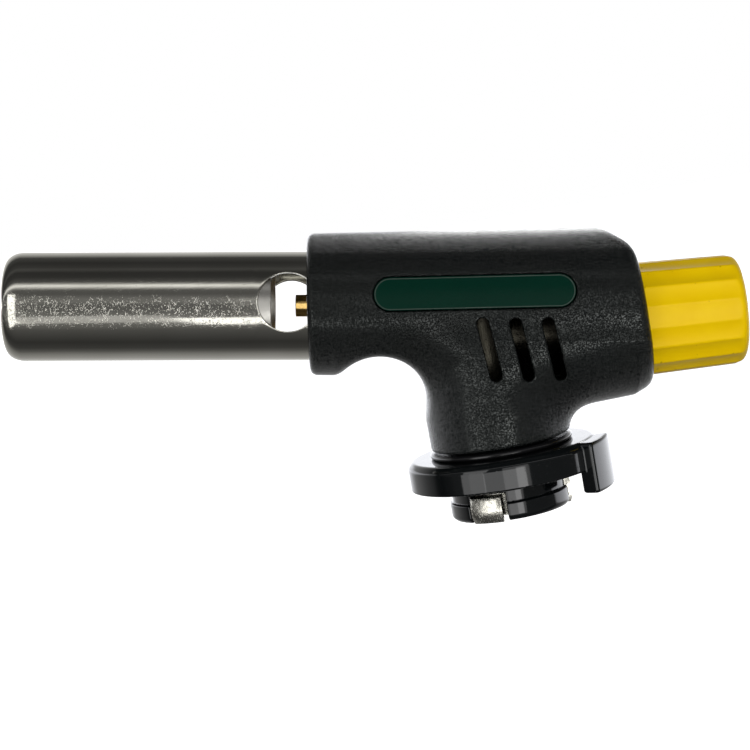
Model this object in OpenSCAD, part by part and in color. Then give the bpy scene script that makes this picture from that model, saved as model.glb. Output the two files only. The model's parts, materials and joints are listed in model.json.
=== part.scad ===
// Gas cartridge torch head with a tilted burner, a bayonet collar and a needle valve.
// Frame: +Z up along the cartridge axis, +X towards the knob, origin on the cartridge axis in
// the plane of the lock ring's underside, where the cartridge collar seats. Millimetres.

/* [Layout] */
// Angle of the burner tube above the plane of the cartridge collar
burner_tilt = 9.65; // [0:0.05:18]
// Height at which the burner axis crosses the cartridge axis
burner_height = 35.1; // [33:0.1:45]
// Height at which the spindle axis crosses the cartridge axis
spindle_height = 28.8; // [26:0.1:31]
// Angle of the spindle below the plane of the cartridge collar
spindle_tilt = 3.75; // [0:0.05:8]

/* [Burner tube] */
// Outer diameter of the burner tube
tube_d = 22; // [16:0.5:30]
// Wall of the burner tube
tube_wall = 0.8; // [0.5:0.1:1.2]
// Length of tube in front of the housing
tube_reach = 60.5; // [40:0.5:120]
// Length of tube inside the housing
tube_grip = 6.4; // [5:0.1:8]
// Outer radius of the rolled lip at the flame end
lip_r = 2.1; // [1:0.1:4]
// Diameter of the cross air hole
air_hole_d = 11.6; // [6:0.1:14]
// Distance of the air hole's centre in front of the housing
air_hole_reach = 3.8; // [2:0.1:12]
// Angle of the air hole about the tube axis
air_hole_turn = 8.7; // [0:0.1:30]
// Wall of the mixer sleeve inside the tube
sleeve_wall = 0.6; // [0.4:0.1:1]
// Length of the mixer sleeve
sleeve_length = 33; // [15:0.5:60]
// Thickness of the flame holder disc
holder_disc_t = 2; // [1:0.1:4]
// Number of flame ports in the outer ring
flame_ports = 10; // [6:1:14]
// Diameter of one flame port
flame_port_d = 3; // [1.5:0.1:3.4]

/* [Jet] */
// Diameter of the jet's tip
jet_tip_d = 4.45; // [3:0.05:6]
// Distance of the jet's tip in front of the housing
jet_reach = 2.6; // [1:0.1:6]
// Width across flats of the jet's hexagon
jet_hex = 7; // [5:0.5:9]
// Outer diameter of the jet holder's body
holder_d = 12; // [9:0.5:12]
// Diameter of the jet holder's thread
holder_thread_d = 8; // [6:0.5:8]

/* [Housing] */
// Wall of the two shells
shell_wall = 2; // [1.4:0.1:2.6]
// Distance from the cartridge axis to the front of the barrel
barrel_front = 34; // [32:0.1:45]
// Room between the tube and the inside of the barrel
barrel_room = 1.25; // [0.9:0.05:3]
// Growth of the barrel's radius from front to rear
barrel_flare = 1.2; // [0:0.1:2]
// Distance from the cartridge axis to the rear face
rear_face = 32; // [31.5:0.1:42]
// Length of the chamfer on the rear upper corner
rear_chamfer = 6.2; // [3:0.1:9]
// Radius of the finger notch under the barrel
notch_r = 9.2; // [5:0.1:10]
// Depth that the finger notch cuts into the barrel
notch_depth = 4; // [1:0.1:4.5]
// Draft of the stem's radius from bottom to top
stem_draft = 0.4; // [0:0.1:1]
// Number of vent slots on each side
vent_count = 3; // [1:1:3]
// Length of a vent slot
vent_length = 12.7; // [8:0.1:14]
// Width of a vent slot
vent_width = 2.2; // [1.5:0.1:3]
// Distance between vent slots
vent_pitch = 6.35; // [4:0.05:7]
// Lean of the vent slots
vent_lean = 14.5; // [0:0.5:20]
// Length of the label plate
label_length = 39.3; // [20:0.1:44]
// Height of the label plate
label_height = 6.4; // [4:0.1:8]
// Thickness of the label plate
label_t = 0.8; // [0.5:0.1:1]
// Outer diameter of a shell screw's shank
screw_d = 2.4; // [2:0.1:3]

/* [Cartridge collar] */
// Outer diameter of the lock ring
ring_d = 39; // [36:0.1:50]
// Thickness of the lock ring
ring_t = 5.77; // [4.5:0.05:8]
// Chamfer on the lock ring's top edge
ring_chamfer = 1; // [0.3:0.1:1.5]
// How far the tab stands out beyond the lock ring
tab_out = 2.2; // [1:0.1:4]
// How far the tab reaches below the lock ring
tab_drop = 4.5; // [2:0.1:5]
// Angle that the tab covers around the ring
tab_angle = 31; // [15:1:45]
// Turn of the lock ring between its stops
lock_turn = 35; // [20:1:45]
// Outer diameter of the spigot that the lock ring turns on
spigot_d = 24.2; // [22:0.1:28]
// Outer diameter of the bead ring
bead_d = 29; // [27:0.1:33]
// Height of the bead ring
bead_h = 1.2; // [0.8:0.1:2]
// Outer diameter of the bayonet skirt's lip
skirt_d = 24.4; // [21:0.1:27]
// How far the skirt reaches below the lock ring
skirt_drop = 7.2; // [4:0.1:8]
// Radial height of the claws beyond the skirt
claw_out = 0.7; // [0.5:0.1:2]
// Angle that each claw covers
claw_angle = 30; // [15:1:35]
// Bore of the inlet nipple for the cartridge stem
inlet_bore_d = 4.2; // [3:0.1:6]

/* [Valve and knob] */
// Diameter of the valve body's spindle boss
boss_d = 10; // [9:0.1:12]
// Diameter of the spindle's thread
thread_d = 6; // [5:0.1:6.4]
// Diameter of the spindle's shaft
shaft_d = 5; // [4:0.1:5.2]
// Diameter of the knob at the housing
knob_d = 23.2; // [18:0.1:30]
// Loss of the knob's diameter towards its outer end
knob_taper = 1.1; // [0:0.1:3]
// Length of the knob
knob_length = 23.1; // [14:0.1:30]
// Number of flutes around the knob
flute_count = 17; // [8:1:24]
// Depth of the flutes
flute_depth = 0.4; // [0.2:0.05:0.8]
// Radius of the knob's outer edge
knob_edge = 2.4; // [0.5:0.1:3]

/* [Clearances] */
// Radial clearance of every turning fit
running_gap = 0.08; // [0.02:0.01:0.1]
// Clearance of a fixed piece in its seat
seat_gap = 0.05; // [0:0.01:0.2]
// Least distance between pieces that move past each other
free_gap = 0.35; // [0.3:0.05:0.6]

/* [Hidden] */
$fn = 64;
eps = 0.01;
far = 200;

// Tube and what it carries, x along the burner axis from the cartridge axis
tube_r = tube_d / 2;
tube_in_r = tube_r - tube_wall;
tube_front = -barrel_front - tube_reach;
tube_back = -barrel_front + tube_grip;
air_hole_x = -barrel_front - air_hole_reach;
sleeve_back = air_hole_x - air_hole_d / 2 + 2.5;
sleeve_front = sleeve_back - sleeve_length;
jet_tip_x = -barrel_front - jet_reach;
flange_t = 3.8;
flange_x = tube_back - flange_t;
jet_hex_t = 2;
jet_thread_r = 2;
jet_thread_length = 7;
boss_front = -13.2;
holder_thread_length = 7.5;

// Housing in the burner's frame
barrel_shift = 0.25;
bore_r = tube_r + 0.15;
barrel_r = tube_r + barrel_room + shell_wall;
knob_r = knob_d / 2;
spindle_rise = burner_tilt - spindle_tilt;
spindle_z = (spindle_height - burner_height) * cos(burner_tilt);
spindle_x = (burner_height - spindle_height) * sin(burner_tilt);
recess_r = knob_r + free_gap;
function rear_x(z) = (rear_face - z * sin(burner_tilt)) / cos(burner_tilt);
rear_axis_z = spindle_z + (rear_face - spindle_x) * tan(spindle_rise);
rear_r = max(barrel_r, recess_r + shell_wall);
rear_top = barrel_shift + barrel_r + barrel_flare;
rear_low = rear_axis_z - recess_r - shell_wall / 2;
chamfer_z = rear_axis_z + recess_r + shell_wall;
underside = -20.9;
notch_x = -barrel_front + 5.1 + notch_r;
notch_z = -barrel_r + barrel_shift + notch_depth - notch_r;
block_front = 2;
label_depth = 0.3;
label_gap = 0.15;
bulkhead_u = 26.4;
floor_t = 2;
knob_u = bulkhead_u + floor_t + free_gap * 2;
knob_end_u = knob_u + knob_length;

// Stem and collar, heights above the lock ring's underside
spigot_r = spigot_d / 2;
ring_r = ring_d / 2;
ring_bore_r = spigot_r + running_gap;
plate_z = 3.5;
rim_r = 16;
skirt_flange_z = 0.2;
skirt_flange_r = rim_r - free_gap;
stem_base = ring_t + bead_h + free_gap;
stem_r = spigot_r + shell_wall;
skirt_groove_r = spigot_r - 1.1;
skirt_top = stem_base + shell_wall + 1.6;
skirt_r = skirt_d / 2;
neck_r = skirt_r - 0.6;
skirt_bore_r = min(skirt_r - 2.5, skirt_groove_r - 1.9);
ledge_z = 7;
ledge_r = skirt_groove_r - 0.5;
lip_z = -skirt_drop / 2;
window_top = -1.6;
window_angle = claw_angle + 9;
claw_places = [-116, 4, 124];
stop_place = 180;
stop_angle = 8;
stop_play = 2;
tab_place = -23.5;
tab_in_r = ring_r - 1.5;

// Valve body and inlet
base_r = skirt_bore_r - seat_gap * 2;
base_z = -skirt_drop + 0.7;
column_r = 6.5;
head_r = 7.5;
head_z = 20;
inlet_r = 5;
inlet_top = 4.6;
nipple_z = -2.6;
nipple_top = 3.6;
nipple_bore_top = 2.4;
seal_z = -3.8;
passage_r = 0.8;
rise_x = 4;
crossing_x = -4;

// Spindle, u along its axis from the cartridge axis
thread_r = thread_d / 2;
shaft_r = shaft_d / 2;
boss_r = boss_d / 2;
boss_end = 22;
seat_u = 3;
chamber_u = 6.5;
thread_end = 14;
groove_u = 15.6;
groove_w = 1.2;
groove_r = shaft_r - 0.3;
gland_u = 18;
gland_thread_r = boss_r - 1;
washer_t = 0.8;
gland_hex = 10;
gland_hex_t = 4;
needle_r = 1.5;
orifice_r = 0.7;
knob_wall = 2.2;
hub_r = 4.6;
hub_seat_depth = 3;

// Shell screws: x and z in the burner's frame, then the one in the stem
post_r = 2.8;
screw_head_r = 2.9;
screw_head_h = 1.9;
screw_seat_y = 5;
screw_tip_y = -7;
post_places = [
    [-10, barrel_r - 4.75],
    [22, barrel_r - 4.25],
    [24, underside + 6.1]
];
stem_post = [-9.8, 15.2];

// Places

module burner_frame() {
    translate([0, 0, burner_height]) rotate([0, burner_tilt, 0]) children();
}

module spindle_frame() {
    translate([0, 0, spindle_height]) rotate([0, spindle_tilt, 0]) children();
}

module at_posts() {
    burner_frame() for (p = post_places) translate([p[0], 0, p[1]]) children();
    translate([stem_post[0], 0, stem_post[1]]) children();
}

// Solids along x, along y and around z

module rod_x(r, from, to) {
    translate([from, 0, 0]) rotate([0, 90, 0]) cylinder(r = r, h = to - from);
}

module cone_x(r1, r2, from, to) {
    translate([from, 0, 0]) rotate([0, 90, 0]) cylinder(r1 = r1, r2 = r2, h = to - from);
}

module hex_x(flats, from, to) {
    translate([from, 0, 0]) rotate([0, 90, 0])
        cylinder(r = flats / 2 / cos(30), h = to - from, $fn = 6);
}

module rod_y(r, from, to) {
    translate([0, from, 0]) rotate([-90, 0, 0]) cylinder(r = r, h = to - from);
}

module sector(r_in, r_out, from_z, to_z, from_angle, to_angle) {
    rotate([0, 0, from_angle]) rotate_extrude(angle = to_angle - from_angle)
        translate([r_in, from_z]) square([r_out - r_in, to_z - from_z]);
}

module stadium(length, height) {
    square([length - height, height], center = true);
    for (side = [-1, 1]) translate([side * (length - height) / 2, 0]) circle(d = height);
}

// Side view of the barrel, drawn smaller by inset
function barrel_side(inset) = [
    [-barrel_front + inset, barrel_shift + barrel_r + 1],
    [-barrel_front + inset, underside],
    [18, underside + inset],
    [rear_x(rear_low) - 2.5, rear_low - 2 + inset],
    [rear_x(rear_low) - inset, rear_low + inset],
    [rear_x(chamfer_z) - inset, chamfer_z],
    [rear_x(chamfer_z) - rear_chamfer, rear_top + 0.2],
    [0, barrel_shift + barrel_r + barrel_flare + 1]
];

module barrel_form(inset) {
    intersection() {
        rotate([90, 0, 0]) linear_extrude(height = far, center = true)
            polygon(barrel_side(inset));
        union() {
            translate([0, 0, barrel_shift])
                cone_x(barrel_r - inset, barrel_r + barrel_flare - inset,
                    -barrel_front - 1, rear_x(0) + 4);
            translate([block_front, 0, underside + rear_r]) {
                rod_x(rear_r - inset, 0, far / 2);
                translate([0, inset - rear_r, 0])
                    cube([far / 2, 2 * (rear_r - inset), barrel_shift - underside - rear_r]);
            }
        }
    }
}

module housing_form(inset) {
    difference() {
        union() {
            burner_frame() barrel_form(inset);
            translate([0, 0, stem_base + inset])
                cylinder(r1 = stem_r - inset, r2 = stem_r + stem_draft - inset,
                    h = burner_height - 4 - stem_base - inset);
        }
        burner_frame() translate([notch_x, 0, notch_z])
            rod_y(notch_r + inset, -far / 2, far / 2);
    }
}

module label_prism(grow) {
    burner_frame() translate([-1.25, 0, 3.5]) rotate([0, -1.2, 0]) rotate([90, 0, 0])
        linear_extrude(height = far / 2) stadium(label_length + grow, label_height + grow);
}

module vents() {
    burner_frame() for (i = [0 : vent_count - 1])
        translate([1.6 + i * vent_pitch, 0, -7.7]) rotate([0, -90 - vent_lean, 0])
            rotate([90, 0, 0]) linear_extrude(height = far)
                stadium(vent_length, vent_width);
}

module cradle_ribs() {
    burner_frame() translate([-19.6, -far / 2, -far / 2]) cube([1.6, far, far]);
    translate([-far / 2, -far / 2, 17.5]) cube([far, far, 1.6]);
    spindle_frame() translate([15, -far / 2, -far / 2]) cube([1.6, far, far]);
}

module cradle_seats() {
    burner_frame() rod_x(holder_d / 2 + seat_gap, -21, -17);
    translate([0, 0, 17]) cylinder(r = column_r + seat_gap, h = 3);
    spindle_frame() rod_x(boss_r + seat_gap, 14, 18);
}

module cavity() {
    difference() {
        housing_form(shell_wall);
        cradle_ribs();
        at_posts() rod_y(post_r, -far / 2, far / 2);
        spindle_frame() translate([bulkhead_u, -far / 2, -far / 2]) cube([far, far, far]);
    }
}

module housing() {
    difference() {
        housing_form(0);
        cavity();
        cradle_seats();
        vents();
        burner_frame() rod_x(bore_r, -barrel_front - 1, -barrel_front + shell_wall + 1);
        translate([0, 0, stem_base - 1])
            cylinder(r = skirt_groove_r + seat_gap * 2, h = shell_wall + 2);
        spindle_frame() {
            rod_x(recess_r, bulkhead_u + floor_t, far / 2);
            rod_x(gland_hex / 2 / cos(30) + free_gap, bulkhead_u - 1, bulkhead_u + floor_t + 1);
        }
    }
}

// Pieces

module left_shell() {
    color("dimgray") difference() {
        housing();
        translate([-far / 2, 0, -far / 2]) cube([far, far, far]);
        at_posts() rod_y(screw_d / 2, screw_tip_y - 0.5, 1);
        difference() {
            label_prism(label_gap * 2);
            housing_form(label_depth + label_t);
        }
    }
}

module right_shell() {
    color("dimgray") difference() {
        housing();
        translate([-far / 2, -far, -far / 2]) cube([far, far, far]);
        at_posts() {
            rod_y(screw_d / 2 + 0.2, -1, far / 2);
            rod_y(screw_head_r + 0.2, screw_seat_y, far / 2);
        }
    }
}

module shell_screws() {
    color("gray") at_posts() difference() {
        union() {
            rod_y(screw_d / 2 - seat_gap, screw_tip_y, screw_seat_y + eps);
            rod_y(screw_head_r, screw_seat_y, screw_seat_y + screw_head_h);
        }
        for (turn = [0, 90]) rotate([0, turn, 0])
            translate([-1.6, screw_seat_y + 0.8, -0.35]) cube([3.2, 2, 0.7]);
    }
}

module label_plate() {
    color("darkgreen") intersection() {
        label_prism(0);
        difference() {
            housing_form(label_depth);
            housing_form(label_depth + label_t - seat_gap);
        }
    }
}

module burner_tube() {
    color("silver") burner_frame() difference() {
        union() {
            rod_x(tube_r, tube_front + lip_r, tube_back);
            rod_x(tube_r - lip_r + eps, tube_front, tube_front + lip_r + 1);
            translate([tube_front + lip_r, 0, 0]) rotate([0, 90, 0])
                rotate_extrude() translate([tube_r - lip_r, 0]) circle(r = lip_r);
        }
        rod_x(tube_in_r, tube_front + lip_r, tube_back + 1);
        rod_x(tube_r - lip_r, tube_front - 1, tube_front + lip_r + 1);
        translate([air_hole_x, 0, 0]) rotate([-air_hole_turn, 0, 0])
            rod_y(air_hole_d / 2, -far / 2, far / 2);
        translate([tube_back - flange_t / 2, 0, 0]) rod_y(1.2, -far / 2, far / 2);
    }
}

module mixer_sleeve() {
    color("lightgray") burner_frame() difference() {
        rod_x(tube_in_r - seat_gap, sleeve_front, sleeve_back);
        rod_x(tube_in_r - seat_gap - sleeve_wall, sleeve_front - 1, sleeve_back + 1);
    }
}

module flame_holder() {
    disc_r = tube_in_r - seat_gap;
    port_ring_r = disc_r - 1 - flame_port_d / 2;
    color("darkgray") burner_frame() difference() {
        rod_x(disc_r, sleeve_front - holder_disc_t, sleeve_front);
        rod_x(disc_r * 0.32, sleeve_front - holder_disc_t - 1, sleeve_front + 1);
        for (i = [0 : flame_ports - 1]) rotate([i * 360 / flame_ports, 0, 0])
            translate([0, 0, port_ring_r])
                rod_x(flame_port_d / 2, sleeve_front - holder_disc_t - 1, sleeve_front + 1);
    }
}

module tube_screws() {
    color("gray") burner_frame() translate([tube_back - flange_t / 2, 0, 0])
        for (side = [0, 180]) rotate([side, 0, 0]) {
            rod_y(1.15, tube_in_r - 2.5, tube_r + eps);
            rod_y(1.9, tube_r, tube_r + 0.7);
        }
}

module jet() {
    color("gold") burner_frame() difference() {
        union() {
            rod_x(jet_tip_d / 2, jet_tip_x, flange_x - jet_hex_t + eps);
            hex_x(jet_hex, flange_x - jet_hex_t, flange_x);
            rod_x(jet_thread_r, flange_x - eps, flange_x + jet_thread_length);
        }
        rod_x(0.2, jet_tip_x - 1, flange_x);
        rod_x(0.9, jet_tip_x + 1.2, flange_x + jet_thread_length + 1);
    }
}

module jet_holder() {
    color("goldenrod") burner_frame() difference() {
        union() {
            rod_x(tube_in_r - seat_gap, flange_x, tube_back);
            rod_x(holder_d / 2, tube_back - eps, boss_front - seat_gap);
            rod_x(holder_thread_d / 2, boss_front - 1, boss_front + holder_thread_length);
        }
        rod_x(jet_thread_r + seat_gap, flange_x - 1, boss_front + holder_thread_length + 1);
        translate([tube_back - flange_t / 2, 0, 0]) for (side = [0, 180])
            rotate([side, 0, 0]) rod_y(1.2, tube_in_r - 2.7, tube_r);
    }
}

module jet_filter() {
    color("peru") burner_frame()
        rod_x(jet_thread_r, flange_x + jet_thread_length + 0.5, flange_x + jet_thread_length + 4);
}

module claw() {
    rotate([0, 0, -claw_angle / 2]) rotate_extrude(angle = claw_angle) polygon([
        [base_r - 1, -skirt_drop],
        [skirt_r, -skirt_drop],
        [skirt_r + claw_out, lip_z - 1.8],
        [skirt_r + claw_out, lip_z - 0.6],
        [skirt_r + 0.3, window_top - 0.5],
        [base_r - 1, window_top - 0.5]
    ]);
}

module valve_body() {
    color("lightslategray") difference() {
        union() {
            translate([0, 0, base_z]) cylinder(r = base_r, h = ledge_z - base_z + eps);
            translate([0, 0, ledge_z]) cylinder(r = ledge_r - seat_gap * 2, h = 2);
            cylinder(r = column_r, h = head_z + 1);
            translate([0, 0, head_z]) cylinder(r = head_r, h = burner_height + 5.5 - head_z);
            for (place = claw_places) rotate([0, 0, place]) claw();
            spindle_frame() rod_x(boss_r, 0, boss_end);
            burner_frame() rod_x(holder_d / 2, boss_front, 0);
        }
        translate([0, 0, base_z - 1]) cylinder(r = inlet_r, h = inlet_top - base_z + 1);
        translate([rise_x, 0, inlet_top - 1])
            cylinder(r = passage_r, h = spindle_height - inlet_top + 1);
        translate([crossing_x, 0, spindle_height])
            cylinder(r = passage_r, h = burner_height - spindle_height + 0.5);
        spindle_frame() {
            rod_x(orifice_r, crossing_x, seat_u + 1);
            cone_x(orifice_r, needle_r + running_gap, seat_u, chamber_u);
            rod_x(thread_r + running_gap, chamber_u, boss_end + 1);
            rod_x(gland_thread_r + seat_gap, gland_u, boss_end + 1);
        }
        burner_frame() rod_x(holder_thread_d / 2 + seat_gap, boss_front - 1,
            boss_front + holder_thread_length + 0.5);
    }
}

module inlet_nipple() {
    color("gold") difference() {
        translate([0, 0, nipple_z]) cylinder(r = inlet_r - seat_gap, h = nipple_top - nipple_z);
        translate([0, 0, nipple_z - 1])
            cylinder(d = inlet_bore_d, h = nipple_bore_top - nipple_z + 1);
        cylinder(r = passage_r, h = nipple_top + 1);
    }
}

module inlet_seal() {
    color("black") translate([0, 0, seal_z]) difference() {
        cylinder(r = inlet_r - seat_gap, h = nipple_z - seal_z);
        translate([0, 0, -1]) cylinder(d = inlet_bore_d + 0.4, h = nipple_z - seal_z + 2);
    }
}

module inlet_filter() {
    color("peru") translate([0, 0, nipple_top])
        cylinder(r = inlet_r - seat_gap, h = inlet_top - nipple_top - seat_gap);
}

module bayonet_skirt() {
    color("black") difference() {
        union() {
            translate([0, 0, -skirt_drop]) cylinder(r = skirt_r, h = skirt_drop + lip_z);
            translate([0, 0, lip_z - eps]) cylinder(r = neck_r, h = skirt_flange_z - lip_z + 1);
            translate([0, 0, skirt_flange_z])
                cylinder(r = skirt_flange_r, h = plate_z - free_gap - skirt_flange_z);
            sector(spigot_r, rim_r + 0.9, skirt_flange_z, plate_z - free_gap,
                stop_place - stop_angle / 2, stop_place + stop_angle / 2);
            translate([0, 0, 1]) cylinder(r = spigot_r, h = stem_base - seat_gap - 1);
            translate([0, 0, 2]) cylinder(r = skirt_groove_r, h = skirt_top - 2);
            translate([0, 0, stem_base + shell_wall + seat_gap])
                cylinder(r = spigot_r - 0.2, h = skirt_top - stem_base - shell_wall - seat_gap);
        }
        translate([0, 0, -skirt_drop - 1]) cylinder(r = skirt_bore_r, h = far);
        translate([0, 0, ledge_z]) cylinder(r = ledge_r, h = far);
        for (place = claw_places)
            sector(skirt_bore_r - 1, skirt_r + 1, -skirt_drop - 1, window_top,
                place - window_angle / 2, place + window_angle / 2);
    }
}

module lock_ring() {
    tab_r = ring_r + tab_out;
    color("black") difference() {
        union() {
            cylinder(r = ring_r, h = ring_t - ring_chamfer);
            translate([0, 0, ring_t - ring_chamfer - eps])
                cylinder(r1 = ring_r, r2 = ring_r - ring_chamfer, h = ring_chamfer + eps);
            rotate([0, 0, tab_place - tab_angle / 2]) rotate_extrude(angle = tab_angle)
                polygon([
                    [tab_in_r, -tab_drop],
                    [tab_r - 1, -tab_drop],
                    [tab_r, -tab_drop + 1.2],
                    [tab_r, ring_t - 0.8],
                    [tab_r - 0.8, ring_t],
                    [tab_in_r - 0.5, ring_t],
                    [tab_in_r - 0.5, 1]
                ]);
        }
        translate([0, 0, -1]) cylinder(r = rim_r, h = plate_z + 1);
        translate([0, 0, -1]) cylinder(r = ring_bore_r, h = ring_t + 2);
        sector(rim_r - 1, rim_r + 1.3, -1, plate_z,
            stop_place - lock_turn - stop_angle / 2 - stop_play,
            stop_place + stop_angle / 2 + stop_play);
    }
}

module bead_ring() {
    color("black") rotate_extrude() {
        translate([ring_bore_r, ring_t])
            square([bead_d / 2 - bead_h / 2 - ring_bore_r, bead_h]);
        translate([bead_d / 2 - bead_h / 2, ring_t + bead_h / 2]) circle(d = bead_h);
    }
}

module gland_nut() {
    color("gold") spindle_frame() difference() {
        union() {
            rod_x(gland_thread_r, gland_u + washer_t, boss_end + eps);
            hex_x(gland_hex, boss_end, boss_end + gland_hex_t);
        }
        rod_x(shaft_r + running_gap, gland_u, boss_end + gland_hex_t + 1);
    }
}

module gland_washer() {
    color("white") spindle_frame() difference() {
        rod_x(gland_thread_r, gland_u, gland_u + washer_t);
        rod_x(shaft_r + running_gap, gland_u - 1, gland_u + washer_t + 1);
    }
}

module spindle() {
    color("gold") spindle_frame() difference() {
        union() {
            cone_x(0.4, needle_r - 0.2, seat_u + 0.6, chamber_u + 0.2);
            rod_x(needle_r - 0.2, chamber_u + 0.1, chamber_u + 1.5);
            rod_x(thread_r, chamber_u + 1, thread_end);
            rod_x(shaft_r, thread_end - eps, groove_u);
            rod_x(groove_r, groove_u - eps, groove_u + groove_w + eps);
            rod_x(shaft_r, groove_u + groove_w, knob_end_u - hub_seat_depth);
        }
        rod_x(1.1, knob_end_u - hub_seat_depth - 7, knob_end_u);
    }
}

module spindle_o_ring() {
    ring_in = groove_r + running_gap / 2;
    ring_out = thread_r + running_gap / 2;
    color("black") spindle_frame() translate([groove_u + groove_w / 2, 0, 0])
        rotate([0, 90, 0]) rotate_extrude()
            translate([(ring_in + ring_out) / 2, 0]) circle(r = (ring_out - ring_in) / 2);
}

module knob() {
    end_r = knob_r - knob_taper / 2;
    color("gold") spindle_frame() translate([knob_u, 0, 0]) rotate([0, 90, 0]) difference() {
        rotate_extrude() {
            polygon([
                [0, 0],
                [knob_r, 0],
                [end_r, knob_length - knob_edge],
                [end_r - knob_edge, knob_length],
                [0, knob_length]
            ]);
            translate([end_r - knob_edge, knob_length - knob_edge]) circle(r = knob_edge);
        }
        difference() {
            translate([0, 0, -1]) cylinder(r = knob_r - knob_wall, h = knob_length - 2);
            cylinder(r = hub_r, h = knob_length);
        }
        translate([0, 0, -1]) cylinder(r = shaft_r + seat_gap, h = knob_length - hub_seat_depth + 1);
        cylinder(r = 1.3, h = knob_length + 1);
        translate([0, 0, knob_length - 1.8]) cylinder(r = 3.2, h = 3);
        for (i = [0 : flute_count - 1]) rotate([0, 0, (i + 0.5) * 360 / flute_count])
            translate([knob_r + flute_depth * 4, 0, 2])
                rotate([0, -atan(knob_taper / 2 / knob_length), 0])
                    cylinder(r = flute_depth * 5, h = knob_length);
    }
}

module knob_screw() {
    seat_u = knob_end_u - 1.8;
    color("gray") spindle_frame() difference() {
        union() {
            rod_x(1.05, knob_end_u - hub_seat_depth - 6, seat_u + eps);
            rod_x(2.9, seat_u, seat_u + 1.2);
        }
        for (turn = [0, 90]) rotate([turn, 0, 0])
            translate([seat_u + 0.5, -1.7, -0.35]) cube([2, 3.4, 0.7]);
    }
}

left_shell();
right_shell();
shell_screws();
label_plate();
burner_tube();
mixer_sleeve();
flame_holder();
tube_screws();
jet();
jet_holder();
jet_filter();
valve_body();
inlet_nipple();
inlet_seal();
inlet_filter();
bayonet_skirt();
lock_ring();
bead_ring();
gland_nut();
gland_washer();
spindle();
spindle_o_ring();
knob();
knob_screw();
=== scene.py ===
import json
import math

import bmesh
import bpy
import numpy as np
from mathutils import Matrix, Vector


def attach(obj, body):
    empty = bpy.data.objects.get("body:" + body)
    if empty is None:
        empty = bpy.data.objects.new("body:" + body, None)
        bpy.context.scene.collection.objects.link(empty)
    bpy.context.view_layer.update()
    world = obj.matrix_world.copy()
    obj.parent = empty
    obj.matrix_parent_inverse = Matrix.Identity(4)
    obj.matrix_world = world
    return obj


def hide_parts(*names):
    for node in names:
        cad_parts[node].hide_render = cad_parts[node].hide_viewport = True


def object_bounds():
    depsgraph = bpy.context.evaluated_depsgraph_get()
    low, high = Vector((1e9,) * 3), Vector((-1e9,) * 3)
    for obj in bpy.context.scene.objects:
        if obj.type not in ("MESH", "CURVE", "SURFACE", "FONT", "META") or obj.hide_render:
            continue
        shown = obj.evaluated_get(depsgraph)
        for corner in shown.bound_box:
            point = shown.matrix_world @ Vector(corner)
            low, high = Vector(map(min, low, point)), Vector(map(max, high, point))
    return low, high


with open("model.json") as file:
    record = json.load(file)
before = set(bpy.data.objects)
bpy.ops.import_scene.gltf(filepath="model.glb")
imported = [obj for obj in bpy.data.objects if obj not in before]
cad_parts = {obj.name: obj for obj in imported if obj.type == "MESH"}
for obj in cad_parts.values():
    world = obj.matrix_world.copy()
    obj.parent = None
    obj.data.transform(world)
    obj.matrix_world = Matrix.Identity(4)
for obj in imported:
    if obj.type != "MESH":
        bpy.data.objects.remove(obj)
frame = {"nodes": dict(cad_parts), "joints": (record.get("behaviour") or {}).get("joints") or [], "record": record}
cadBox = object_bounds()
scene = bpy.context.scene
scene.view_settings.view_transform = "Standard"
mm = 0.001

# the burner's and the spindle's own frames, x towards the knob, in mm
burnerTilt = math.radians(9.65)
burnerHeight = 35.1
knobJoint = next(j for j in frame["joints"] if j["name"] == "knob_turn")
knobAim = Vector(knobJoint["axis"])
spindleTilt = math.atan2(-knobAim.z, knobAim.x)
spindleHeight = knobJoint["pos_m"][2] / mm
rowFrame = Matrix.Identity(4)
burnerFrame = Matrix.Translation((0, 0, burnerHeight)) @ Matrix.Rotation(burnerTilt, 4, "Y")
spindleFrame = Matrix.Translation((0, 0, spindleHeight)) @ Matrix.Rotation(spindleTilt, 4, "Y")


def toFrame(points, place):
    back = np.array(place.inverted())
    return points @ back[:3, :3].T + back[:3, 3]


def fromFrame(points, place):
    there = np.array(place)
    return points @ there[:3, :3].T + there[:3, 3]


def span(name, place=rowFrame):
    # lowest and highest corner of a CAD node in that frame, in mm
    points = np.array([v.co for v in frame["nodes"][name].data.vertices]) / mm
    local = toFrame(points, place)
    return local.min(0), local.max(0)


def feed(tree, slot, given):
    # a number, a colour, a socket or a Value into a node's input
    if isinstance(given, Value):
        given = given.socket
    if isinstance(given, bpy.types.NodeSocket):
        tree.links.new(given, slot)
    else:
        slot.default_value = given


class Value:
    # a number socket; arithmetic on it adds Math nodes
    def __init__(self, tree, socket):
        self.tree = tree
        self.socket = socket

    def made(self, operation, *parts):
        node = self.tree.nodes.new("ShaderNodeMath")
        node.operation = operation
        for slot, part in zip(node.inputs, parts):
            feed(self.tree, slot, part)
        return Value(self.tree, node.outputs[0])

    def math(self, operation, *others):
        return self.made(operation, self, *others)

    def __add__(self, other):
        return self.math("ADD", other)

    def __sub__(self, other):
        return self.math("SUBTRACT", other)

    def __rsub__(self, other):
        return self.made("SUBTRACT", other, self)

    def __mul__(self, other):
        return self.math("MULTIPLY", other)

    def __truediv__(self, other):
        return self.math("DIVIDE", other)

    def __pow__(self, other):
        return self.math("POWER", other)

    __radd__ = __add__
    __rmul__ = __mul__

    def ramp(self, low, high):
        # 0 at low to 1 at high, eased at both ends
        node = self.tree.nodes.new("ShaderNodeMapRange")
        node.interpolation_type = "SMOOTHSTEP"
        for name, part in (("Value", self), ("From Min", low), ("From Max", high)):
            feed(self.tree, node.inputs[name], part)
        return Value(self.tree, node.outputs["Result"])


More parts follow.
